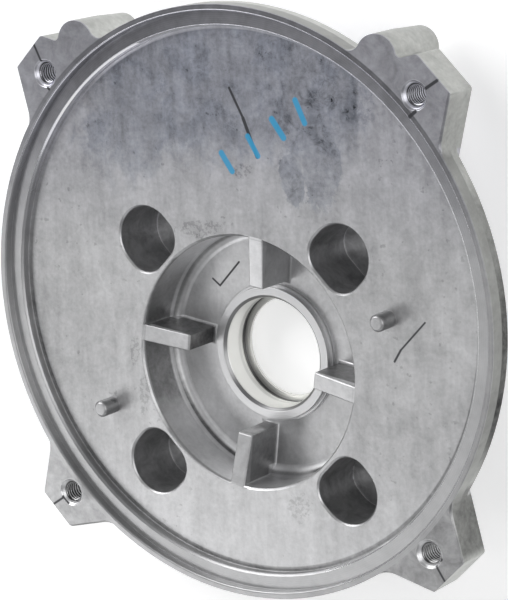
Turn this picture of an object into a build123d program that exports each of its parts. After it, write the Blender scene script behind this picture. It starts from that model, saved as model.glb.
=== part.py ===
"""Housing cover of an electric machine: one aluminium die casting with a machined rim and bearing seat.

Millimetres. The origin is the centre of the round flange, on the plane of its rim face, and +Z points
out of that face, towards the machine that the cover closes. +Y points to the two round lobes.
"""
from build123d import *
import os
from math import acos, cos, hypot, radians, sin, tan

# Flange: a round plate behind a rim with two steps
flange_radius = 105.0
flange_depth = 10.5
flange_rear_chamfer = 1.0
rim_inner_radius = 102.6
land_depth = 3.0
land_inner_radius = 97.0
plate_depth = 6.5
step_chamfer = 0.75

# Four lugs with threaded holes, on the diagonals
bolt_outset = 5.0
thread_radius = 4.0
thread_countersink = 1.05
lug_end_margin = 10.4
lug_end_half_width = 8.7
lug_flare = 31.0
lug_depth = 14.0
lug_valley_round = 10.0
lug_corner_round = 1.5
lug_flank_chamfer = 0.8
lug_pad_reach = 14.0
lug_pad_margin = 0.4

# Two round lobes beside the upper lugs
lobe_radius = 7.75
lobe_outset = 4.6
lobe_turn_from_lug = 9.8
lobe_depth = 28.2
lobe_rear_radius = 7.0
lobe_lug_round = 2.0
lobe_flange_round = 4.5

# Round pocket below the middle of the plate
pocket_to_land = 30.0
pocket_radius = 45.3
pocket_depth = 25.3
pocket_lip_chamfer = 0.8
pocket_foot_chamfer = 2.0
pocket_wall = 4.6
pocket_floor_wall = 4.4
drum_rear_chamfer = 2.5

# Bearing collar, seat and shoulder in the pocket
collar_radius = 24.1
collar_height = 3.0
collar_ledge_width = 1.0
collar_ledge_depth = 1.7
seat_radius = 20.0
seat_chamfer = 1.15
seat_depth = 12.0
seat_relief = 0.35
seat_relief_width = 1.8
shoulder_width = 2.1
shoulder_land = 1.2
hub_wall = 6.0
hub_back_thickness = 4.0

# Four ribs across the pocket
rib_count = 4
rib_turn = -8.0
rib_thickness = 6.0
rib_gap_to_collar = 2.9
rib_top_drop = 0.3
rib_end_drop = 3.0
rib_edge_chamfer = 0.4
rib_foot_chamfer = 0.8

# Four deep blind recesses round the pocket, flat towards it and round away from it
recess_count = 4
recess_web = 1.4
recess_half_width = 11.5
recess_inner_reach = 11.0
recess_corner_round = 8.3
recess_depth = 27.6
recess_draft = 1.5
recess_lip_chamfer = 0.6
recess_wall = 3.8
recess_floor_wall = 4.2
recess_rear_chamfer = 1.2

# Two locating pins
pin_radius = 3.0
pin_outset = 19.2
pin_height = 8.0
pin_tip_chamfer = 1.1
pin_turn = 20.0

# Small overlaps that let neighbouring forms join into one casting, and how exactly an edge is picked
blend_overlap = 0.05
join = 1.5
above = 20.0
near = 0.01

bolt_circle_radius = flange_radius + bolt_outset
lobe_circle_radius = flange_radius + lobe_outset
lug_end_reach = bolt_circle_radius + lug_end_margin
lug_root = bolt_circle_radius - lug_pad_reach
valley_depth = flange_depth - flange_rear_chamfer
root_radius = flange_radius - blend_overlap
pocket_lip_radius = pocket_radius + pocket_lip_chamfer
collar_face_depth = pocket_depth - collar_height
seat_bottom_depth = collar_face_depth + seat_depth
bore_radius = seat_radius - shoulder_width
hub_radius = seat_radius + hub_wall
hub_back_depth = seat_bottom_depth + hub_back_thickness
recess_centre_radius = pocket_lip_radius + recess_web + recess_inner_reach
pin_circle_radius = pocket_radius + pin_outset
rib_inner_radius = collar_radius + rib_gap_to_collar
lug_angles = [45.0, 135.0, 225.0, 315.0]
pocket_drop = land_inner_radius - pocket_radius - pocket_to_land
pocket_centre = Location((0, -pocket_drop, 0))


def turned(corners):
    """Solid turned about the Z axis from corners given as radius, height and chamfer."""
    points = [(radius, height) for radius, height, size in corners]
    outline = make_face(Polyline(*points, close=True))
    for radius, height, size in corners:
        if size:
            outline = chamfer(outline.vertices().sort_by_distance((radius, height))[0], size)
    return revolve(Plane.XZ * outline, Axis.Z)


def flange_blank():
    """The round flange before its front is recessed."""
    return turned([
        (0, -flange_depth, 0),
        (flange_radius, -flange_depth, flange_rear_chamfer),
        (flange_radius, 0, 0),
        (0, 0, 0),
    ])


def rim_recess():
    """What is turned away in front: down to the land, and inside it down to the plate."""
    return turned([
        (0, above, 0),
        (rim_inner_radius + step_chamfer, above, 0),
        (rim_inner_radius + step_chamfer, 0, 0),
        (rim_inner_radius, -step_chamfer, 0),
        (rim_inner_radius, -land_depth, 0),
        (land_inner_radius + step_chamfer, -land_depth, 0),
        (land_inner_radius, -land_depth - step_chamfer, 0),
        (land_inner_radius, -plate_depth, 0),
        (0, -plate_depth, 0),
    ])


def lug_valley_angle():
    """Angle between a lug's own axis and the place where its valley round meets the flange."""
    flare = radians(lug_flare)
    flank_distance = lug_end_reach * sin(flare) + lug_end_half_width * cos(flare)
    cosine = (flank_distance + lug_valley_round) / (root_radius + lug_valley_round)
    return radians(90) - flare - acos(cosine)


def lobe_valley_angle():
    """The same angle for the valley beyond a lobe, from the triangle of the three centres."""
    to_valley = root_radius + lobe_flange_round
    across = lobe_radius - blend_overlap + lobe_flange_round
    cosine = (lobe_circle_radius**2 + to_valley**2 - across**2) / (2 * lobe_circle_radius * to_valley)
    return radians(lobe_turn_from_lug) + acos(cosine)


def lug_wedge():
    """The flared pad of a lug seen from the front, pointing along +X."""
    spread = lug_end_half_width + (lug_end_reach - lug_root) * tan(radians(lug_flare))
    return make_face(Polyline(
        (lug_end_reach, -lug_end_half_width),
        (lug_end_reach, lug_end_half_width),
        (lug_root, spread),
        (lug_root, -spread),
        close=True,
    ))


def lug_outline(lobe_side=0):
    """A lug with a piece of the flange that it grows from, as wide as its valleys reach."""
    plain_edge = root_radius * sin(lug_valley_angle()) + lug_pad_margin
    lobe_edge = root_radius * sin(lobe_valley_angle()) + lug_pad_margin
    upper = lobe_edge if lobe_side > 0 else plain_edge
    lower = lobe_edge if lobe_side < 0 else plain_edge
    window = Polyline(
        (lug_root, -lower),
        (root_radius, -lower),
        (root_radius, upper),
        (lug_root, upper),
        close=True,
    )
    return lug_wedge() + (Circle(root_radius) & make_face(window))


def valleys(outline, reach, centre=(0, 0)):
    """Corners of an outline at a given distance from a centre, nearest the lug's own axis first."""
    x, y = centre
    found = [v for v in outline.vertices() if abs(hypot(v.X - x, v.Y - y) - reach) < near]
    return sorted(found, key=lambda v: abs(v.Y))


def lobe_valleys(outline, reach, centre, at_lug):
    """The corner between the lobe and the lug, or the one between the lobe and the flange."""
    return [v for v in valleys(outline, reach, centre) if (v.X > root_radius) == at_lug]


def plain_lug():
    """A lug with both flanks running into the flange in wide valleys."""
    front = fillet(valleys(lug_outline(), root_radius)[:2], lug_valley_round)
    return softened(extrude(front, -valley_depth) + extrude(lug_wedge(), -lug_depth), [-1, 1])


def lobe():
    """A round lobe: straight as far back as the lug, and narrowing behind it."""
    return turned([
        (0, 0, 0),
        (lobe_radius, 0, 0),
        (lobe_radius, -lug_depth, 0),
        (lobe_rear_radius, -lobe_depth, 0),
        (0, -lobe_depth, 0),
    ])


def lobed_lug(side):
    """A lug with a round lobe on one side; side is +1 or -1 along its own Y."""
    lobe_x = lobe_circle_radius * cos(radians(lobe_turn_from_lug))
    lobe_y = lobe_circle_radius * sin(radians(lobe_turn_from_lug)) * side
    lobe_root = lobe_radius - blend_overlap
    lobe_circle = Pos(lobe_x, lobe_y) * Circle(lobe_root)
    front = lug_outline(side) + lobe_circle
    front = fillet(lobe_valleys(front, lobe_root, (lobe_x, lobe_y), True), lobe_lug_round)
    front = fillet(lobe_valleys(front, lobe_root, (lobe_x, lobe_y), False), lobe_flange_round)
    plain = [v for v in valleys(front, root_radius) if v.Y * side < 0][:1]
    front = fillet(plain, lug_valley_round)
    pad = lug_wedge() + lobe_circle
    pad = fillet(lobe_valleys(pad, lobe_root, (lobe_x, lobe_y), True), lobe_lug_round)
    lug = softened(extrude(front, -valley_depth) + extrude(pad, -lug_depth), [-side])
    return lug + Pos(lobe_x, lobe_y, 0) * lobe()


def softened(lug, sides):
    """The cast rounding along a lug's front flanks, and its two rounded outer corners."""
    back = lug_end_margin / 2
    half_width = lug_end_half_width + back * tan(radians(lug_flare))
    for side in sides:
        on_flank = (lug_end_reach - back, side * half_width, 0)
        lug = chamfer(lug.edges().filter_by(GeomType.LINE).sort_by_distance(on_flank)[0], lug_flank_chamfer)
    upright = lug.edges().filter_by(Axis.Z)
    corners = [e for e in upright if abs(e.center().X - lug_end_reach) < near]
    return fillet(corners, lug_corner_round)


def lugs():
    """The four lugs: plain below, lobed above."""
    upper_right = Rot(0, 0, lug_angles[0]) * lobed_lug(1)
    upper_left = Rot(0, 0, lug_angles[1]) * lobed_lug(-1)
    lower_left = Rot(0, 0, lug_angles[2]) * plain_lug()
    lower_right = Rot(0, 0, lug_angles[3]) * plain_lug()
    return upper_right + upper_left + lower_left + lower_right


def thread_holes():
    """Through holes at the thread's outer diameter, with a countersunk mouth in front."""
    hole = turned([
        (0, -lug_depth - above, 0),
        (thread_radius, -lug_depth - above, 0),
        (thread_radius, -thread_countersink, 0),
        (thread_radius + thread_countersink, 0, 0),
        (thread_radius + thread_countersink, above, 0),
        (0, above, 0),
    ])
    return [Rot(0, 0, angle) * Pos(bolt_circle_radius, 0, 0) * hole for angle in lug_angles]


def drum():
    """The back of the pocket and of the bearing hub."""
    root = plate_depth + join
    drum_back = pocket_depth + pocket_floor_wall
    outer = pocket_radius + pocket_wall
    return turned([
        (0, -root, 0),
        (outer, -root, 0),
        (outer, -drum_back, drum_rear_chamfer),
        (hub_radius, -drum_back, 0),
        (hub_radius, -hub_back_depth, 0),
        (0, -hub_back_depth, 0),
    ])


def pocket_void():
    """The pocket, the bearing seat and the bore: everything that is open round the pocket's axis."""
    ledge_depth = collar_face_depth + collar_ledge_depth
    ledge_radius = collar_radius + collar_ledge_width
    relief_top = seat_bottom_depth - seat_relief_width
    bore_bottom = seat_bottom_depth + shoulder_land
    bore_flare = bore_radius + hub_back_depth - bore_bottom
    return turned([
        (0, above, 0),
        (pocket_lip_radius, above, 0),
        (pocket_lip_radius, -plate_depth, 0),
        (pocket_radius, -plate_depth - pocket_lip_chamfer, 0),
        (pocket_radius, -pocket_depth, pocket_foot_chamfer),
        (ledge_radius, -pocket_depth, 0),
        (ledge_radius, -ledge_depth, 0),
        (collar_radius, -ledge_depth, 0),
        (collar_radius, -collar_face_depth, 0),
        (seat_radius, -collar_face_depth, seat_chamfer),
        (seat_radius, -relief_top, 0),
        (seat_radius + seat_relief, -relief_top - seat_relief, 0),
        (seat_radius + seat_relief, -seat_bottom_depth, 0),
        (bore_radius, -seat_bottom_depth, 0),
        (bore_radius, -bore_bottom, 0),
        (bore_flare, -hub_back_depth, 0),
        (bore_flare, -hub_back_depth - above, 0),
        (0, -hub_back_depth - above, 0),
    ])


def recess_outline(grow=0.0):
    """A recess seen from the front, pointing away from the pocket along +X, grown by a wall."""
    half = recess_half_width + grow
    inner = recess_inner_reach + grow
    flat = Rectangle(inner, 2 * half, align=(Align.MAX, Align.CENTER))
    flat = fillet(flat.vertices().group_by(Axis.X)[0], recess_corner_round + grow)
    beyond = Rectangle(half, 2 * half, align=(Align.MIN, Align.CENTER))
    return flat + (Circle(half) & beyond)


def recess_angles():
    """The recesses stand on the diagonals of the pocket."""
    return [45.0 + 360.0 / recess_count * index for index in range(recess_count)]


def recess_bosses():
    """Closed cups behind the plate that hold the recesses."""
    root = plate_depth + join
    back = recess_depth + recess_floor_wall
    boss = extrude(recess_outline(recess_wall), -(back - root))
    boss = chamfer(boss.edges().group_by(Axis.Z)[0][0], recess_rear_chamfer)
    return [Rot(0, 0, angle) * Pos(recess_centre_radius, 0, -root) * boss for angle in recess_angles()]


def recess_voids():
    """The open inside of each recess."""
    void = extrude(recess_outline(), -(recess_depth - plate_depth))
    void = draft(void.faces().filter_by(Axis.Z, reverse=True), Plane.XY, -recess_draft)
    mouth = extrude(recess_outline(), above)
    return [
        Rot(0, 0, angle) * Pos(recess_centre_radius, 0, -plate_depth) * (void + mouth)
        for angle in recess_angles()
    ]


def rib():
    """One rib along +X from near the collar into the pocket wall, with a bevelled foot on the floor."""
    outer = pocket_radius + join
    floor = pocket_depth + join
    foot_top = pocket_depth - rib_foot_chamfer
    foot_end = rib_inner_radius - rib_foot_chamfer
    half = rib_thickness / 2
    foot_half = half + rib_foot_chamfer
    from_the_side = Polyline(
        (rib_inner_radius, -plate_depth - rib_end_drop),
        (outer, -plate_depth - rib_top_drop),
        (outer, -floor),
        (foot_end, -floor),
        (foot_end, -pocket_depth),
        (rib_inner_radius, -foot_top),
        close=True,
    )
    from_the_end = Polyline(
        (-half, 0),
        (half, 0),
        (half, -foot_top),
        (foot_half, -pocket_depth),
        (foot_half, -floor),
        (-foot_half, -floor),
        (-foot_half, -pocket_depth),
        (-half, -foot_top),
        close=True,
    )
    end_plane = Plane(origin=(0, 0, 0), x_dir=(0, 1, 0), z_dir=(1, 0, 0))
    blank = extrude(make_face(Plane.XZ * from_the_side), foot_half, both=True)
    body = blank & extrude(make_face(end_plane * from_the_end), outer, dir=(1, 0, 0))
    top_edges = [e for e in body.faces().sort_by(Axis.Z)[-1].edges() if e.center().X < pocket_radius]
    uprights = body.edges().filter_by(Axis.Z)
    end_edges = [e for e in uprights if abs(e.center().X - rib_inner_radius) < rib_foot_chamfer / 2]
    return chamfer(top_edges + end_edges, rib_edge_chamfer)


def ribs():
    """Four ribs at right angles, all turned a little from the flange's own axes."""
    return [Rot(0, 0, rib_turn + 360.0 / rib_count * index) * rib() for index in range(rib_count)]


def pins():
    """Two locating pins on opposite sides of the pocket."""
    tip = pin_height - plate_depth
    pin = turned([
        (0, -plate_depth - join, 0),
        (pin_radius, -plate_depth - join, 0),
        (pin_radius, tip - pin_tip_chamfer, 0),
        (pin_radius - pin_tip_chamfer, tip, 0),
        (0, tip, 0),
    ])
    turns = [pin_turn, pin_turn + 180.0]
    return [Rot(0, 0, angle) * Pos(pin_circle_radius, 0, 0) * pin for angle in turns]


def recess_lips(cover):
    """Edges where the recesses open in the plate."""
    turns = [radians(angle) for angle in recess_angles()]
    middle = Vector(0, -pocket_drop, -plate_depth)
    centres = [middle + Vector(cos(turn), sin(turn), 0) * recess_centre_radius for turn in turns]
    reach = hypot(recess_inner_reach, recess_half_width)
    level = cover.edges().filter_by_position(Axis.Z, -plate_depth - near, -plate_depth + near)
    return [e for e in level if any((e.center() - centre).length < reach for centre in centres)]


def housing_cover():
    """The whole casting as one solid."""
    cover = flange_blank() + lugs()
    cover += pocket_centre * drum()
    for boss in recess_bosses():
        cover += pocket_centre * boss
    cover -= rim_recess()
    cover -= pocket_centre * pocket_void()
    for void in recess_voids():
        cover -= pocket_centre * void
    for hole in thread_holes():
        cover -= hole
    cover = chamfer(recess_lips(cover), recess_lip_chamfer)
    for one in ribs() + pins():
        cover += pocket_centre * one
    return cover


os.makedirs("parts", exist_ok=True)
export_step(housing_cover().solid(), "parts/housing_cover.step")
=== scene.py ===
# %% [markdown]
# A housing cover, dressed for the picture.
#
# The cover closes one end of an electric machine. It is a single aluminium die casting: most of it keeps the
# slightly mottled skin that the mould gives, and a lathe has then cut the rim, the collar and the bearing
# seat bright. This notebook takes the measured solid as it is and gives it what a solid can't carry: rounded
# edges, the cove at the foot of the pocket, screw threads, the finishes, stains, and a few strokes of a pen.

# %% Load the measured model
import bmesh
import bpy
import math
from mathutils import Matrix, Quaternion, Vector


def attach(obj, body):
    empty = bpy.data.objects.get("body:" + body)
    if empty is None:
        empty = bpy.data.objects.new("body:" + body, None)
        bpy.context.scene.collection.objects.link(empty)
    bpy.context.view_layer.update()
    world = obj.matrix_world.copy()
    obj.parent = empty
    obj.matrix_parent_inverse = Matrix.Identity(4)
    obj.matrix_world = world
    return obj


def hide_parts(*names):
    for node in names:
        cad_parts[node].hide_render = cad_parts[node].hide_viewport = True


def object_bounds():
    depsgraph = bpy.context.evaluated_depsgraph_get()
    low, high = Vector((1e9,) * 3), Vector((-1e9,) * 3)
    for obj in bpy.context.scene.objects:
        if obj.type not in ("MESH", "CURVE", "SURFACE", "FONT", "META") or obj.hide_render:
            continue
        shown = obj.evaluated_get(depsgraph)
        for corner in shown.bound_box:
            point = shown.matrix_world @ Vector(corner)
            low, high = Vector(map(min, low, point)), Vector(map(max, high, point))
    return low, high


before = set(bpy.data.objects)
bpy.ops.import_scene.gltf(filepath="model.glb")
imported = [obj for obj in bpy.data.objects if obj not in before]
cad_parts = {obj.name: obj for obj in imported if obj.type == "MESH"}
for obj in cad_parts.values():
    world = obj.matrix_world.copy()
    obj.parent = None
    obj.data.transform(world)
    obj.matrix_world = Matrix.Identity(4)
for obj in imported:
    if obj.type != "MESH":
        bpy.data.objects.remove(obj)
cad_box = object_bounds()
MM = 0.001
print("nodes:", sorted(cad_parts), "box:", [round(v, 4) for corner in cad_box for v in corner])

# %% [markdown]
# Every length below is in metres, because Blender works in metres. The sizes are those of the real casting,
# so a value such as 110 * MM reads as on a drawing: 110 millimetres. The rear face comes from the model.

# %% Sizes that several pieces share
LUG_BACK_Z = -14.0 * MM
BOLT_CIRCLE_R = 110.0 * MM
THREAD_R = 4.0 * MM
COUNTERSINK = 1.05 * MM
POCKET_Y = -21.7 * MM
POCKET_R = 45.3 * MM
POCKET_Z = -25.3 * MM
BACK_Z = cad_box[0][2]
FULL_TURN = 2.0 * math.pi
print("pocket centre", (0.0, POCKET_Y), "bolt circle", BOLT_CIRCLE_R, "rear face", round(BACK_Z, 4))

# %% [markdown]
# The camera stands where the photographer stood: about 0.95 m away, to the right of the cover and well above
# its face. A long lens keeps the circles almost free of perspective. Blender aims a camera along its own -Z
# axis, so the direction is turned into a rotation first, and then the picture is rolled until the lobes are
# at the top.

# %% Camera
CAMERA_PLACE = (0.55371, 0.21125, 0.74031)
CAMERA_AIM = Vector((-0.57747, -0.22071, -0.78601))
CAMERA_ROLL = math.radians(-109.362)
camera_data = bpy.data.cameras.new("camera")
camera_data.sensor_width = 36.0
camera_data.lens = 164.44
camera_data.clip_start = 0.05
camera_data.clip_end = 20.0
camera = bpy.data.objects.new("camera", camera_data)
camera.rotation_mode = "QUATERNION"
camera.rotation_quaternion = CAMERA_AIM.to_track_quat("-Z", "Y") @ Quaternion((0, 0, 1), CAMERA_ROLL)
camera.location = CAMERA_PLACE
bpy.context.scene.collection.objects.link(camera)
bpy.context.scene.camera = camera
print("camera", [round(v, 3) for v in camera.location])

# %% [markdown]
# Metal shows what surrounds it, so the studio matters as much as the metal. The flat face of the cover
# mirrors the part of the room that lies opposite the camera. A soft light stands near there, so the face is
# bright at the bottom left of the picture and falls off to a darker grey at the top. Other soft lights catch
# the small slopes of the rim and the collar, and a pale surround fills what is left.

# %% Lights, each with its name, its place in metres, its width in metres and its watts
SOFTBOXES = [
    ("low_left_key", (-1.30, -0.84, 1.30), 0.9, 5.8),
    ("upper_left_window", (-0.9, 0.85, 0.8), 0.9, 13.0),
    ("broad_right", (1.45, 0.30, 1.2), 1.3, 11.0),
    ("overhead", (-0.22, -0.15, 1.4), 0.5, 1.0),
    ("near_card", (0.1, -1.6, 0.45), 1.3, 3.0),
]


def softbox(name, place, width, watts):
    """A square area light at a place, facing the cover."""
    data = bpy.data.lights.new(name, "AREA")
    data.shape = "SQUARE"
    data.size = width
    data.energy = watts
    light = bpy.data.objects.new(name, data)
    light.location = place
    light.rotation_mode = "QUATERNION"
    light.rotation_quaternion = (-Vector(place)).to_track_quat("-Z", "Y")
    bpy.context.scene.collection.objects.link(light)
    return light


print("lights:", [softbox(*box).name for box in SOFTBOXES])

# %% The pale surround
SURROUND_COLOUR = (0.80, 0.81, 0.83, 1)
SURROUND_STRENGTH = 0.27
world = bpy.data.worlds.new("studio")
world.use_nodes = True
background = world.node_tree.nodes["Background"]
background.inputs["Color"].default_value = SURROUND_COLOUR
background.inputs["Strength"].default_value = SURROUND_STRENGTH
bpy.context.scene.world = world
bpy.context.scene.view_settings.view_transform = "Standard"
print("surround:", world.name, SURROUND_STRENGTH)

# %% [markdown]
# The measured solid has sharp edges, and a real casting has none: each edge is worn round by the mould, and
# the thin bright lines in the picture are light on those rounds. A copy of the solid can be given them. The
# solid's mesh is loose triangles, so the copy is merged first, and flat faces are dissolved to single
# polygons so that no edge is left inside them. Corners closer than a quarter of a millimetre become one.

# %% A clean copy of the casting
SAME_PLACE = 0.002 * MM
SAME_PLANE = math.radians(0.5)
CLOSE_CORNERS = 0.25 * MM
NO_SIZE = 0.001 * MM


def merged_copy(node):
    """A copy of a node's mesh as one closed skin of large flat polygons."""
    shape = bmesh.new()
    shape.from_mesh(node.data)
    bmesh.ops.remove_doubles(shape, verts=shape.verts, dist=SAME_PLACE)
    bmesh.ops.dissolve_limit(shape, angle_limit=SAME_PLANE, verts=shape.verts, edges=shape.edges)
    bmesh.ops.remove_doubles(shape, verts=shape.verts, dist=CLOSE_CORNERS)
    bmesh.ops.dissolve_degenerate(shape, dist=NO_SIZE, edges=shape.edges)
    return shape


casting_shape = merged_copy(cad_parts["housing_cover"])
print("merged casting:", len(casting_shape.faces), "faces")

# %% [markdown]
# The bevel operator rounds every edge that turns by more than 25 degrees. It would fold over itself at a
# corner where an edge is very short, or where two edges run close together, so edges that end in such a
# corner stay sharp.

# %% Rounded edges
EDGE_ROUND = 0.15 * MM
SHORT_EDGE = 0.45 * MM
NARROW_CORNER = math.radians(25.0)
SHARP_EDGE = math.radians(25.0)


def is_tight(corner):
    """Whether a bevel would fold at this corner: an edge is too short there, or two edges run too close."""
    if any(edge.calc_length() < SHORT_EDGE for edge in corner.link_edges):
        return True
    ways = [(edge.other_vert(corner).co - corner.co, edge.calc_face_angle(0)) for edge in corner.link_edges]
    for number, (way, turn) in enumerate(ways):
        for other_way, other_turn in ways[:number]:
            if way.angle(other_way) < NARROW_CORNER and max(turn, other_turn) > SHARP_EDGE:
                return True
    return False


tight = {corner for corner in casting_shape.verts if is_tight(corner)}
sharp = [edge for edge in casting_shape.edges if edge.is_manifold and edge.calc_face_angle(0) > SHARP_EDGE]
free = [edge for edge in sharp if not tight.intersection(edge.verts)]
rounded, all_sharp = len(free), len(sharp)
bmesh.ops.bevel(
    casting_shape, geom=free, offset=EDGE_ROUND, offset_type="OFFSET", affect="EDGES", segments=2,
    profile=0.5, material=-1, clamp_overlap=False,
)
print("rounded", rounded, "of", all_sharp, "sharp edges:", len(casting_shape.faces), "faces")
print("closed:", all(edge.is_manifold for edge in casting_shape.edges))

# %% [markdown]
# Wall and floor of the round pocket meet in a cove, a hollow quarter round that lets the metal flow in the
# mould. The solid holds its place with a flat slope. The cove is a ring with that section: the quarter round
# in front, and a square corner hidden in the metal behind it. A short profile is spun once round the
# pocket's axis.

# %% The cove at the pocket's foot
COVE_R = 4.0 * MM
COVE_BURIED = 0.5 * MM
COVE_PROUD = 0.05 * MM
COVE_STEPS = 10
COVE_SEGMENTS = 144


def pocket_cove():
    """A ring that rounds the corner between the pocket's wall and its floor."""
    shape = bmesh.new()
    centre = Vector((POCKET_R - COVE_R - COVE_PROUD, 0, POCKET_Z + COVE_R + COVE_PROUD))
    turns = [math.pi / 2 * step / COVE_STEPS for step in range(COVE_STEPS + 1)]
    arc = [centre + COVE_R * Vector((math.cos(turn), 0, -math.sin(turn))) for turn in turns]
    outer, low = POCKET_R + COVE_BURIED, POCKET_Z - COVE_BURIED
    hidden = [Vector((arc[-1].x, 0, low)), Vector((outer, 0, low)), Vector((outer, 0, arc[0].z))]
    profile = [shape.verts.new(point + Vector((0, POCKET_Y, 0))) for point in arc + hidden]
    loop = [shape.edges.new((a, b)) for a, b in zip(profile, profile[1:] + profile[:1])]
    bmesh.ops.spin(
        shape, geom=profile + loop, cent=(0, POCKET_Y, 0), axis=(0, 0, 1), dvec=(0, 0, 0), angle=FULL_TURN,
        steps=COVE_SEGMENTS, use_merge=True, use_duplicate=False,
    )
    bmesh.ops.remove_doubles(shape, verts=shape.verts, dist=NO_SIZE)
    bmesh.ops.recalc_face_normals(shape, faces=shape.faces)
    return shape


cove_shape = pocket_cove()
print("cove:", len(cove_shape.faces), "faces")

# %% [markdown]
# The four bolt holes have an M8 thread: a ridge that climbs 1.25 mm a turn and stands 0.68 mm proud of the
# wall. The solid has the plain wall behind it. The spin operator makes a screw when it is given a shift for
# each step, so the ridge's section is spun round the hole while it climbs. A right-handed thread climbs as
# it turns to the left, seen from above. The countersink has cut the ridge away at its mouth, so what would
# stand in that cone is pushed back to it, and the ridge runs out in the same way at the lug's back.

# %% Threads in the bolt holes
PITCH = 1.25 * MM
CREST_R = 3.32 * MM
ROOT_R = 4.04 * MM
ROOT_HALF = 0.55 * MM
CREST_HALF = 0.17 * MM
STEPS_A_TURN = 28
BOLT_TURNS = [math.radians(45.0 + 90.0 * number) for number in range(4)]


def bolt_thread(turn):
    """The ridge of one thread, in the hole at this turn round the flange."""
    shape = bmesh.new()
    centre = Vector((BOLT_CIRCLE_R * math.cos(turn), BOLT_CIRCLE_R * math.sin(turn), 0))
    bottom = LUG_BACK_Z + ROOT_HALF
    top = -COUNTERSINK
    section = [(ROOT_R, -ROOT_HALF), (CREST_R, -CREST_HALF), (CREST_R, CREST_HALF), (ROOT_R, ROOT_HALF)]
    profile = [shape.verts.new(centre + Vector((r, 0, bottom + z))) for r, z in section]
    end = shape.faces.new(profile)
    steps = int(STEPS_A_TURN * (top - bottom) / PITCH)
    angle = FULL_TURN * steps / STEPS_A_TURN
    bmesh.ops.spin(
        shape, geom=[end], cent=centre, axis=(0, 0, 1), dvec=(0, 0, PITCH / STEPS_A_TURN), angle=angle,
        steps=steps, use_merge=False, use_duplicate=False,
    )
    for vert in shape.verts:
        arm = Vector((vert.co.x - centre.x, vert.co.y - centre.y, 0))
        mouth = THREAD_R + (vert.co.z + COUNTERSINK)
        foot = THREAD_R - (vert.co.z - LUG_BACK_Z)
        wanted = min(max(arm.length, mouth, foot), ROOT_R)
        vert.co += arm * (wanted / arm.length - 1)
    bmesh.ops.recalc_face_normals(shape, faces=shape.faces)
    return shape


thread_shapes = [bolt_thread(turn) for turn in BOLT_TURNS]
print("threads:", len(thread_shapes), "of", len(thread_shapes[0].faces), "faces")

# %% [markdown]
# The real cover is one piece of metal, so the copy, the cove and the threads become one mesh. It stands for
# the solid in the picture, which is hidden, and hangs from the root body. Smooth faces with weighted
# normals keep large flat faces flat and let the narrow bevels carry all the curve.

# %% One piece from its shapes
CREASE = math.radians(50.0)
LARGE_FACE_WEIGHT = 80


def one_piece(name, shapes):
    """An object of several closed shapes, smooth, with weighted normals."""
    mesh = bpy.data.meshes.new(name)
    whole = bmesh.new()
    for shape in shapes:
        part = bpy.data.meshes.new("part")
        shape.to_mesh(part)
        shape.free()
        whole.from_mesh(part)
        bpy.data.meshes.remove(part)
    for face in whole.faces:
        face.smooth = True
    for edge in whole.edges:
        edge.smooth = edge.is_manifold and edge.calc_face_angle(0) < CREASE
    whole.to_mesh(mesh)
    whole.free()
    piece = bpy.data.objects.new(name, mesh)
    bpy.context.scene.collection.objects.link(piece)
    weighted = piece.modifiers.new("weighted_normals", "WEIGHTED_NORMAL")
    weighted.keep_sharp = True
    weighted.weight = LARGE_FACE_WEIGHT
    return piece


casting = one_piece("cast_cover", [casting_shape, cove_shape] + thread_shapes)
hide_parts("housing_cover")
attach(casting, "root")
print("piece:", casting.name, len(casting.data.polygons), "faces")

# %% [markdown]
# Materials are sums of masks: where is the rim, how far is a point from a pen stroke, how rough is the skin
# here. Writing those sums as node links by hand is slow to read, so a small class wraps a socket and lets
# Python's own operators add the Math nodes. An expression such as 1 - mask then makes the node that it
# describes. All other nodes come from one method.

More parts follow.
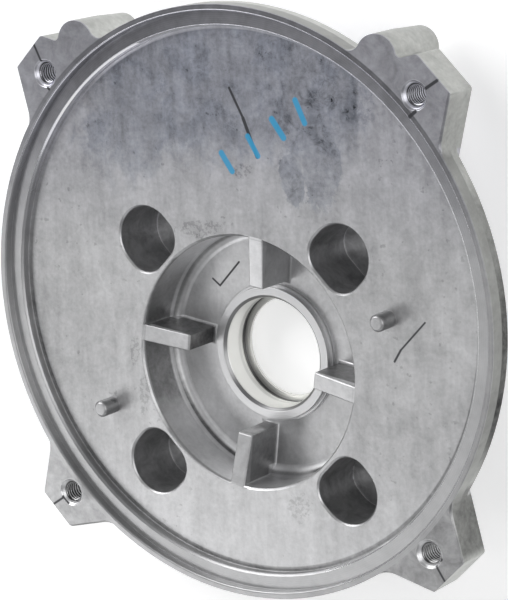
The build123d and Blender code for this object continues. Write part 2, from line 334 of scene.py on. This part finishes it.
# %% A small class for shader maths
class Signal:
    """One output socket of a node tree, with Python's operators."""

    def __init__(self, tree, socket=None):
        self.tree = tree
        self.socket = socket

    def node(self, kind, settings, sockets, output=0):
        """Adds a node of a kind: settings first, then the values or links of its input sockets."""
        made = self.tree.nodes.new(kind)
        for name, value in settings.items():
            setattr(made, name, value)
        for key, value in sockets.items():
            if isinstance(value, Signal):
                self.tree.links.new(value.socket, made.inputs[key])
            else:
                made.inputs[key].default_value = value
        return Signal(self.tree, made.outputs[output])

    def maths(self, operation, first, second=0.0):
        """A Math node on two values or signals."""
        return self.node("ShaderNodeMath", {"operation": operation}, {0: first, 1: second})

    def __add__(self, other):
        return self.maths("ADD", self, other)

    def __radd__(self, other):
        return self.maths("ADD", other, self)

    def __sub__(self, other):
        return self.maths("SUBTRACT", self, other)

    def __rsub__(self, other):
        return self.maths("SUBTRACT", other, self)

    def __mul__(self, other):
        return self.maths("MULTIPLY", self, other)

    def __rmul__(self, other):
        return self.maths("MULTIPLY", other, self)

    def __truediv__(self, other):
        return self.maths("DIVIDE", self, other)

    def __rtruediv__(self, other):
        return self.maths("DIVIDE", other, self)

    def bigger(self, other):
        return self.maths("MAXIMUM", self, other)

    def smaller(self, other):
        return self.maths("MINIMUM", self, other)

    def sine(self):
        return self.maths("SINE", self)

    def root(self):
        return self.maths("SQRT", self)

    def size(self):
        return self.maths("ABSOLUTE", self)

    def above(self, low, high):
        """0 under low, 1 over high, and a smooth slope between them."""
        smooth = {"interpolation_type": "SMOOTHSTEP"}
        return self.node("ShaderNodeMapRange", smooth, {"Value": self, "From Min": low, "From Max": high})

    def below(self, low, high):
        """1 under low, 0 over high, and a smooth slope between them."""
        return 1 - self.above(low, high)

    def band(self, low, high, soft):
        """1 between low and high, with soft ends."""
        return self.above(low - soft, low + soft) * self.below(high - soft, high + soft)

    def painted(self, colour, share):
        """This colour, covered with another one by a share from 0 to 1."""
        return self.node("ShaderNodeMix", {"data_type": "RGBA"}, {0: share, 6: self, 7: colour}, 2)


def strongest(signals):
    """The strongest of several masks at each point."""
    result = signals[0]
    for signal in signals[1:]:
        result = result.bigger(signal)
    return result


print("methods of a signal:", [name for name in vars(Signal) if not name.startswith("__")])

# %% [markdown]
# A pattern starts from a place on the piece. Object coordinates give it in metres. Here they are turned into
# millimetres at once, so that every mask below is written with the numbers of a drawing. Noise is read at a
# scale too, and a stretched noise gives streaks.

# %% Places and noise
PATCH_EDGE = 0.93


class Place:
    """A point of the piece, in millimetres, with the patterns that are read there."""

    def __init__(self, tree):
        metres = Signal(tree).node("ShaderNodeTexCoord", {}, {}, "Object")
        scaled = {"Vector": metres, "Scale": 1.0 / MM}
        self.point = metres.node("ShaderNodeVectorMath", {"operation": "SCALE"}, scaled)
        split = self.point.node("ShaderNodeSeparateXYZ", {}, {"Vector": self.point})
        self.x, self.y, self.z = (Signal(tree, split.socket.node.outputs[axis]) for axis in "XYZ")

    def noise(self, length, detail, rough, stretch=(1.0, 1.0, 1.0), turn=0.0, bend=0.0):
        """Noise whose patches are about this many millimetres long, from 0 to 1."""
        scale = tuple(1.0 / (length * share) for share in stretch)
        turned_point = {"Vector": self.point, "Rotation": (0, 0, turn), "Scale": scale}
        mapped = self.point.node("ShaderNodeMapping", {}, turned_point)
        look = {"Vector": mapped, "Scale": 1.0, "Detail": detail, "Roughness": rough, "Distortion": bend}
        return mapped.node("ShaderNodeTexNoise", {}, look)

    def distance(self, centre):
        """Distance from an upright axis through this point of the drawing."""
        dx, dy = self.x - centre[0], self.y - centre[1]
        return (dx * dx + dy * dy).root()

    def stroke(self, start, end, half_width, soft):
        """1 on a straight pen stroke between two points, 0 away from it."""
        (ax, ay), (bx, by) = start, end
        length = math.hypot(bx - ax, by - ay)
        ux, uy = (bx - ax) / length, (by - ay) / length
        dx, dy = self.x - ax, self.y - ay
        along = dx * ux + dy * uy
        across = dx * -uy + dy * ux
        beyond = (along - along.bigger(0.0).smaller(length)).size()
        apart = (across * across + beyond * beyond).root()
        return apart.below(half_width - soft, half_width + soft)

    def patch(self, centre, across, along, turn, soft, ragged):
        """A soft-edged oval, whose edge is shifted by a ragged noise."""
        dx, dy = self.x - centre[0], self.y - centre[1]
        cos, sin = math.cos(turn), math.sin(turn)
        u = (dx * cos + dy * sin) / across
        v = (dy * cos - dx * sin) / along
        return ((u * u + v * v).root() + ragged).below(PATCH_EDGE - soft, PATCH_EDGE + soft)


print("patterns of a place:", [name for name in vars(Place) if not name.startswith("__")])

# %% [markdown]
# The casting's finish. Die-cast aluminium is grey and fairly rough, with a cloudy skin where the metal has
# flowed and where the release agent has stained it. The lathe-cut rim has fine rings, and the collar and the
# seat are brighter; the seat also carries a painted reflection. Painted light and shade are laid into the
# grey in many places as well. All these are one material here, because one casting carries them all, and
# masks made from the point's place choose between them. The material is built up from here on, mask by
# mask.

# %% An empty material, and the distances that its masks are read from
aluminium = bpy.data.materials.new("cast_aluminium")
aluminium.use_nodes = True
casting.data.materials.append(aluminium)
tree = aluminium.node_tree
place = Place(tree)
x, y, z = place.x, place.y, place.z
radius = place.distance((0.0, 0.0))
pocket_radius = place.distance((0.0, POCKET_Y / MM))
print("distances from the flange's axis and the pocket's axis, nodes:", len(tree.nodes))

# %% [markdown]
# The first masks tell the cast front from the turned rim. The edges of a mask are given as two values, and
# the mask goes from 0 to 1 between them: two radii, or two heights over the rim face. The side is the wall of
# the flange, and the flank is the side together with the walls of lugs and lobes.

# %% Front, rim and side
RIM_FACE = (-0.7, -0.4)
BELOW_THE_FACE = (-1.0, -0.4)
FLANGE_EDGE = (104.8, 105.2)
SIDE_WALL = (104.3, 104.9)
top = z.above(*RIM_FACE)
plate = radius.below(95.6, 96.2)
front = z.above(-7.5, -6.9) * plate
outside = radius.above(104.4, 106.0) * (1 - top)
rim = radius.above(96.2, 96.6) * z.above(-6.2, -5.6) * (1 - outside)
ringed = rim * radius.below(*FLANGE_EDGE)
land = ringed * (1 - top)
walls = radius.above(*SIDE_WALL) * z.below(*BELOW_THE_FACE)
side = radius.above(*SIDE_WALL) * radius.below(108.0, 114.0) * z.below(*BELOW_THE_FACE)
print("front, rim and side, nodes:", len(tree.nodes))

# %% [markdown]
# The four bolt holes lie on the diagonals, so one quarter of the drawing stands for all four: the sizes of x
# and y, without their signs, fold the quarters over each other. A hole has a bright countersink, painted
# shade in its thread and painted highlights on the crests.

# %% Bolt holes and lugs
HOLE_X = BOLT_CIRCLE_R / MM / math.sqrt(2.0)
THREAD_START = (-1.35, -1.15)
hole_x, hole_y = x.size() - HOLE_X, y.size() - HOLE_X
hole_radius = (hole_x * hole_x + hole_y * hole_y).root()
hole = hole_radius.below(5.1, 5.25)
countersink = hole * z.above(*THREAD_START)
thread = hole_radius.below(4.3, 4.4) * z.below(*THREAD_START)
crest = hole_radius.below(3.4, 3.52) * thread
lug_face = radius.above(*FLANGE_EDGE) * top * (1 - hole)
flank = walls * (1 - hole)
print("bolt holes and lugs, nodes:", len(tree.nodes))

# %% [markdown]
# The pocket has its own axis. Its hub carries the collar and the bearing seat, and the ring between the hub
# and the wall holds the ribs and the floor. Heights tell a rib's top from its sides.

# %% Hub and pocket
RIB_TOP = -10.3
hub = pocket_radius.below(25.3, 25.5)
seat = pocket_radius.below(20.1, 20.2) * hub
lead_in = pocket_radius.band(20.15, 21.1, 0.06) * hub
seat_foot = hub * z.below(-30.2, -29.6) * (1 - z.band(-31.9, -31.4, 0.12))
inside_pocket = pocket_radius.below(44.6, 44.9) * (1 - hub)
rib_side = z.band(-24.3, RIB_TOP, 0.4) * inside_pocket
rib_top = z.above(RIB_TOP, RIB_TOP + 0.4) * inside_pocket
pocket_floor = z.below(-25.2, -24.9) * inside_pocket
pocket_wall = z.above(-23.0, -20.6) * z.below(-8.5, -7.5) * pocket_radius.band(44.8, 45.8, 0.1)
cove = z.band(-25.3, -21.6, 0.5) * pocket_radius.band(41.4, 45.8, 0.3)
cast = (1 - rim) * (1 - hub)
print("hub, ribs, floor, wall and cove, nodes:", len(tree.nodes))

# %% [markdown]
# The four recesses lie on the diagonals of the pocket and are folded over each other too. The two pins stand
# opposite each other on a circle round the pocket.

# %% Recesses and pins
RECESS_REACH = 58.9
RECESS_FLOOR_Z = -27.6
UNDER_THE_PLATE = (-7.6, -7.2)
PIN_CIRCLE_R = 64.5
PIN_TURNS = [math.radians(20.0), math.radians(200.0)]
across_pocket = (y - POCKET_Y / MM).size()
along = (x.size() + across_pocket) * math.sqrt(0.5) - RECESS_REACH
aside = (x.size() - across_pocket) * math.sqrt(0.5)
in_recess = (along * along + aside * aside).root().below(13.0, 13.4)
recess = in_recess * z.below(*UNDER_THE_PLATE)
pin_centres = [
    (PIN_CIRCLE_R * math.cos(turn), POCKET_Y / MM + PIN_CIRCLE_R * math.sin(turn)) for turn in PIN_TURNS
]
pins = [place.distance(centre).below(3.4, 3.6) for centre in pin_centres]
pin = strongest(pins) * z.above(-6.4, -6.0)
print("pins at", [(round(px, 2), round(py, 2)) for px, py in pin_centres], "nodes:", len(tree.nodes))

# %% [markdown]
# Painted highlights brighten edges that stand proud: the lips of the pocket and the recesses, and the two
# steps inside the rim. The steps on the side of the main light are lit bright enough and get none. A painted
# highlight also marks where a recess's wall meets its floor. Painted shade darkens the lower half of the
# corner between plate and rim.

# %% Painted edge highlights and corner shade
lip = z.band(-7.35, -6.62, 0.04) * plate * pocket_radius.above(45.0, 45.2)
floor_line = z.band(RECESS_FLOOR_Z + 0.08, RECESS_FLOOR_Z + 0.5, 0.05) * in_recess
outer_step = radius.band(102.5, 103.2, 0.1) * z.above(-2.8, -2.6)
steps = outer_step + 1.4 * radius.band(96.9, 97.8, 0.1) * rim
away_from_key = (x + y).above(-90.0, 0.0)
# Painted highlights on the lips, the steps and the edges of the recess floors.
highlit = lip * 0.30 + steps * (2.8 * away_from_key) + floor_line * 1.6
# Painted shade in the lower half of the corner between plate and rim.
corner_shade = radius.band(95.2, 96.7, 0.3) * z.below(-5.4, -4.6) * y.below(-30.0, 40.0)
print("worn edges and grime, nodes:", len(tree.nodes))

# %% [markdown]
# No part of a cast skin is even. Seven noises of different lengths give it clouds, blotches, a fine mottle
# and grain, a leathery pattern with hard turns, and drips and streaks that run down the plate. A noise lies
# between 0 and 1, and its swing is the same noise about 0, which can lighten as well as darken.

# %% Noises of the cast skin
clouds = place.noise(60.0, 5.0, 0.6, bend=0.4)
blotches = place.noise(16.0, 5.0, 0.62, bend=0.6)
mottle = place.noise(6.5, 5.0, 0.66, bend=0.5)
grain = place.noise(1.6, 3.0, 0.6)
leather = place.noise(6.0, 5.0, 0.75, bend=1.6)
drips = place.noise(20.0, 5.0, 0.62, stretch=(0.55, 1.9, 1.0), turn=-0.1, bend=0.8)
streaks = place.noise(12.0, 4.0, 0.6, stretch=(0.35, 2.2, 1.0), turn=0.35)
noises = (clouds, blotches, mottle, grain, leather, drips, streaks)
cloud_swing, blotch_swing, mottle_swing, grain_swing, leather_swing, drip_swing, streak_swing = (
    noise - 0.5 for noise in noises
)
print("noises:", len(noises), "nodes:", len(tree.nodes))

# %% [markdown]
# The top of the plate has a bluish dark stain with a ragged edge. It is laid down as a few soft ovals, whose
# edges are shifted by noise until no oval can be seen. The rubbed spots are smaller ovals, broken up by the
# grain. Veins are the thin lines where the leathery noise passes through its middle value.

# %% Stains and rubbed spots, each with its centre, half widths, turn and softness
STAINS = [
    ((-10.0, 79.0), 62.0, 29.0, 0.0, 0.28),
    ((30.0, 72.0), 27.0, 24.0, 0.3, 0.26),
    ((36.0, 52.0), 8.5, 19.0, -0.12, 0.09),
    ((23.5, 46.0), 5.5, 10.0, 0.2, 0.09),
    ((-42.0, 63.0), 31.0, 18.0, 0.7, 0.28),
]
SCUFFS = [
    ((-17.0, 25.2), 11.0, 3.2, 0.15, 0.13),
    ((-46.0, -38.5), 2.6, 8.5, -0.1, 0.13),
    ((-49.0, -22.0), 2.2, 6.0, -0.2, 0.13),
    ((20.7, -71.5), 5.5, 5.0, 0.5, 0.13),
    ((3.0, 47.0), 4.0, 2.5, 0.3, 0.13),
]
ragged = drip_swing + leather_swing * 0.8 + mottle_swing * 0.3
stain = strongest([place.patch(*oval, ragged) for oval in STAINS])
stain = stain * (0.55 + 0.45 * blotches.above(0.42, 0.60)) * (0.66 + 0.34 * y.above(40.0, 66.0)) * front
smudge = stain * leather.above(0.52, 0.60)
rubbed = leather_swing * 1.6 + mottle_swing * 1.2
scuff = strongest([place.patch(*oval, rubbed) for oval in SCUFFS]) * grain.above(0.46, 0.56) * front
specks = place.noise(2.4, 2.0, 0.5).above(0.66, 0.72) * blotches.above(0.48, 0.58) * front
veins = leather_swing.size().below(0.0, 0.014) * drips.above(0.40, 0.56)
print("stains:", len(STAINS), "rubbed spots:", len(SCUFFS), "nodes:", len(tree.nodes))

# %% [markdown]
# The skin's grey starts at one half. The noises swing it to both sides, and the stains, veins, specks and
# scuffs take some of it away. Painted shade darkens the front towards the top and both sides, and a painted
# reflection lightens it towards the bottom. Painted shade also darkens the corner under the rim.

# %% Grey of the cast front
toward_top = y.above(5.0, 85.0)
skin = 0.50 + 0.24 * cloud_swing + 0.29 * blotch_swing + 0.27 * mottle_swing + 0.18 * grain_swing
# Painted shade towards the top and both sides, and a painted reflection towards the bottom.
skin = skin + (0.23 * streak_swing - 0.08 * toward_top - 0.05 * x.above(10.0, 90.0)) * front
skin = skin + (0.09 * y.below(-95.0, -35.0) - 0.05 * x.below(-90.0, -30.0)) * front
skin = skin - stain * (0.18 + 0.08 * blotches.above(0.46, 0.64) * x.above(-30.0, 40.0))
skin = skin - smudge * (0.04 + 0.06 * x.above(-10.0, 40.0))
skin = skin - veins * (0.03 + 0.09 * stain) * front - 0.12 * specks - 0.14 * scuff - 0.24 * corner_shade
print("front of the skin, nodes:", len(tree.nodes))

# %% [markdown]
# Painted shade darkens the walls outside the flange at the right, the right flanks of the lugs, and the
# walls of lugs and lobes towards the top. Painted shade also darkens most sides of the ribs, the middle of
# the pocket's wall, the pins below their tips and, a little, the recesses, which are strongly mottled.
# Painted light makes the tops of the ribs, the pocket's floor, the ends of the pocket's wall and the cove
# lighter.

# %% Grey of walls, ribs, pocket and recesses
lower_right = x.above(88.0, 101.0) * y.below(5.0, 28.0)
side_shade = -0.03 + 0.05 * x.above(70.0, 95.0) + 0.24 * x.above(91.0, 102.0) + 0.17 * lower_right
right_flank = x.above(78.0, 86.0) * y.size().band(54.0, 78.0, 2.0) * flank
skin = skin - side * side_shade - flank * (1 - side) * 0.05 * toward_top
skin = skin - right_flank * (0.07 + 0.24 * y.below(-60.0, -30.0))
skin = skin - rib_side * (0.40 * x.size().above(12.0, 18.0) + 0.22 * y.below(-45.0, -30.0) - 0.06)
skin = skin + rib_top * (0.12 - 0.04 * x.above(15.0, 25.0) - 0.09 * y.below(-50.0, -35.0))
skin = skin - 0.13 * pin * z.below(0.0, 0.9)
off_middle = (y + 18.0).size().above(19.0, 33.0)
skin = skin + pocket_floor * (0.17 - 0.14 * x.above(-28.0, 0.0) + 0.3 * drip_swing)
skin = skin + pocket_wall * (0.48 * off_middle - 0.26 + 0.22 * y.above(-20.0, 5.0)) + 0.22 * cove
skin = skin - recess * (0.06 - 0.35 * mottle_swing)
print("whole skin, nodes:", len(tree.nodes))

# %% [markdown]
# Turned metal is evener than cast metal. The tool leaves fine rings, one every 0.7 mm here, which a sine of
# the radius gives. They are kept very faint, because strong rings that are hardly wider than a pixel make
# false patterns. The faces of the lugs belong to the same cut as the rim, but they are more mottled.

# %% Grey of the turned rim and the bright hub
RING_RADIANS_A_MM = 9.0
rings = ((radius * RING_RADIANS_A_MM).sine() * 0.5 + 0.5) * ringed
turned = 0.39 + 0.02 * rings + 0.10 * cloud_swing + 0.12 * blotch_swing + 0.16 * mottle_swing
# Painted shade darkens the turned rim towards the top and the right, a painted reflection lightens it at the
# far left, and painted light lightens the land on the right.
turned = turned - 0.20 * toward_top - 0.06 * x.above(10.0, 100.0) + 0.05 * x.below(-100.0, -60.0)
turned = turned + 0.08 * land * x.above(-20.0, 60.0)
# Painted light lightens the faces of the upper lugs, and painted shade darkens the lower ones a little.
upper_lug_light = (0.16 + 0.05 * x.above(-50.0, 50.0)) * toward_top
lower_lug_shade = (0.03 + 0.02 * x.above(0.0, 60.0)) * (1 - toward_top)
turned = turned + lug_face * (upper_lug_light - lower_lug_shade + 0.25 * mottle_swing + 0.12 * grain_swing)
# A painted reflection lightens the bearing seat; painted shade darkens its lead-in chamfer and its foot.
bright = 0.60 + 0.06 * blotch_swing + 0.28 * seat - 0.28 * lead_in - 0.16 * seat_foot
print("turned and bright metal, nodes:", len(tree.nodes))

# %% [markdown]
# Each grey is multiplied by the mask of its place, and the sum is one grey for the whole casting. Red, green
# and blue are that grey with a small shift: stains and the upper part are bluish, and the seat and the outer
# walls are slightly warm.

# %% Colour of the bare metal
# The painted edge highlights are added to the grey here.
grey = skin * cast + turned * rim * (1 - hub) + bright * hub + highlit * 0.20
# Painted shade in the threads and painted highlights on their crests.
grey = grey + 0.34 * countersink - 0.38 * thread + 0.62 * crest
green = 1.0 + 0.05 * stain + 0.012 * flank
blue = 1.01 + 0.14 * stain + 0.07 * toward_top * (1 - flank) - 0.04 * seat - 0.04 * flank
bare = grey.node("ShaderNodeCombineColor", {}, {"Red": grey, "Green": grey * green, "Blue": grey * blue})
print("bare metal, nodes:", len(tree.nodes))

# %% [markdown]
# Pen strokes lie on the plate, on the floor of the pocket and on the faces of the lugs. Each is a straight
# line with a start, an end and half its width in millimetres. Ink stays on the surfaces that a pen reaches,
# so the black strokes are masked to the front faces and the inside of the pocket.

# %% Pen strokes
BLACK_STROKES = [
    ((-1.4, 75.4), (3.9, 65.3), 0.50),
    ((3.9, 65.3), (9.1, 52.1), 0.68),
    ((62.4, -14.2), (65.0, -10.0), 0.40),
    ((65.0, -10.0), (75.0, 0.5), 0.32),
    ((-26.6, 2.5), (-23.5, 0.2), 0.35),
    ((-23.5, 0.2), (-14.6, 9.6), 0.35),
    ((-79.4, 82.2), (-82.2, 87.9), 0.45),
    ((-76.9, 72.6), (-76.4, 72.2), 0.5),
    ((81.8, 80.0), (86.6, 83.0), 0.55),
    ((78.0, 72.5), (75.5, 70.5), 0.6),
    ((-82.0, -80.5), (-86.3, -83.3), 0.4),
    ((-82.0, -80.0), (-79.5, -82.2), 0.4),
    ((80.5, -81.5), (83.6, -86.3), 0.4),
    ((82.0, -79.3), (82.6, -78.9), 0.6),
]
BLUE_STROKES = [
    ((-6.0, 52.5), (-1.8, 46.5), 1.15),
    ((5.5, 59.0), (9.5, 52.5), 1.05),
    ((16.0, 65.5), (20.5, 59.5), 1.2),
    ((26.0, 72.5), (29.5, 65.0), 1.1),
]
BLACK_SOFT = 0.18
BLUE_SOFT = 0.3
black = strongest([place.stroke(*line, BLACK_SOFT) for line in BLACK_STROKES])
in_pocket = pocket_radius.below(44.4, 44.8) * z.above(-26.0, -25.6)
lug_walls = radius.above(96.0, 97.0) * (1 - top)
black = black * in_pocket.bigger(z.above(*UNDER_THE_PLATE)) * (1 - lug_walls)
blue_ink = strongest([place.stroke(*line, BLUE_SOFT) for line in BLUE_STROKES]) * front
print("strokes:", len(BLACK_STROKES), "black and", len(BLUE_STROKES), "blue, nodes:", len(tree.nodes))

# %% [markdown]
# The ink covers the metal's colour almost fully. It is no metal, so it also takes the metallic share away.
# Turned surfaces are smoother than cast ones. A very small bump gives the skin its grain and the turned
# surfaces their rings.

# %% Ink, roughness and bump, and the finished material
BLACK_INK = (0.015, 0.015, 0.02, 1)
BLUE_INK = (0.02, 0.32, 0.58, 1)
BUMP_STRENGTH = 0.35
BUMP_DISTANCE = 0.2 * MM
colour = bare.painted(BLACK_INK, black * 0.95).painted(BLUE_INK, blue_ink * 0.92)
roughness = 0.42 + 0.14 * blotch_swing + 0.10 * mottle_swing + 0.05 * stain
roughness = roughness * cast + 0.36 * rim + 0.34 * hub - 0.08 * highlit
metallic = 0.85 - 0.8 * black.bigger(blue_ink)
height = (grain * 0.4 + blotches * 0.5 + mottle * 0.5 + smudge * 0.15) * cast + rings * 0.1
height = height + (pocket_radius * RING_RADIANS_A_MM).sine() * hub * 0.1
bump_sockets = {"Strength": BUMP_STRENGTH, "Distance": BUMP_DISTANCE, "Height": height}
bump = height.node("ShaderNodeBump", {}, bump_sockets)
surface = tree.nodes["Principled BSDF"]
finishes = {"Base Color": colour, "Roughness": roughness, "Metallic": metallic, "Normal": bump}
for socket, signal in finishes.items():
    tree.links.new(signal.socket, surface.inputs[socket])
print("material nodes:", len(tree.nodes))

# %% [markdown]
# The floor is plain and pale, a sheet just under the cover's rear face. It glows a little, so that the
# shadows on it stay faint. It isn't part of the object.

# %% Floor
FLOOR_HALF_SIZE = 3.0
FLOOR_GAP = 0.1 * MM
PAPER_GREY = 0.9
PAPER_ROUGHNESS = 0.9
PAPER_GLOW = 0.38


def pale_paper():
    """A plain pale material that glows a little."""
    paper = bpy.data.materials.new("pale_paper")
    paper.use_nodes = True
    sheet_surface = paper.node_tree.nodes["Principled BSDF"]
    sheet_surface.inputs["Base Color"].default_value = (PAPER_GREY, PAPER_GREY, PAPER_GREY, 1)
    sheet_surface.inputs["Roughness"].default_value = PAPER_ROUGHNESS
    sheet_surface.inputs["Emission Color"].default_value = (1, 1, 1, 1)
    sheet_surface.inputs["Emission Strength"].default_value = PAPER_GLOW
    return paper


def floor():
    """A large flat sheet just under the cover."""
    mesh = bpy.data.meshes.new("floor")
    shape = bmesh.new()
    bmesh.ops.create_grid(shape, x_segments=1, y_segments=1, size=FLOOR_HALF_SIZE)
    bmesh.ops.translate(shape, vec=(0, 0, BACK_Z - FLOOR_GAP), verts=shape.verts)
    shape.to_mesh(mesh)
    shape.free()
    sheet = bpy.data.objects.new("floor", mesh)
    bpy.context.scene.collection.objects.link(sheet)
    mesh.materials.append(pale_paper())
    return sheet


print("stage:", floor().name, "at", round(BACK_Z - FLOOR_GAP, 5))

# %% [markdown]
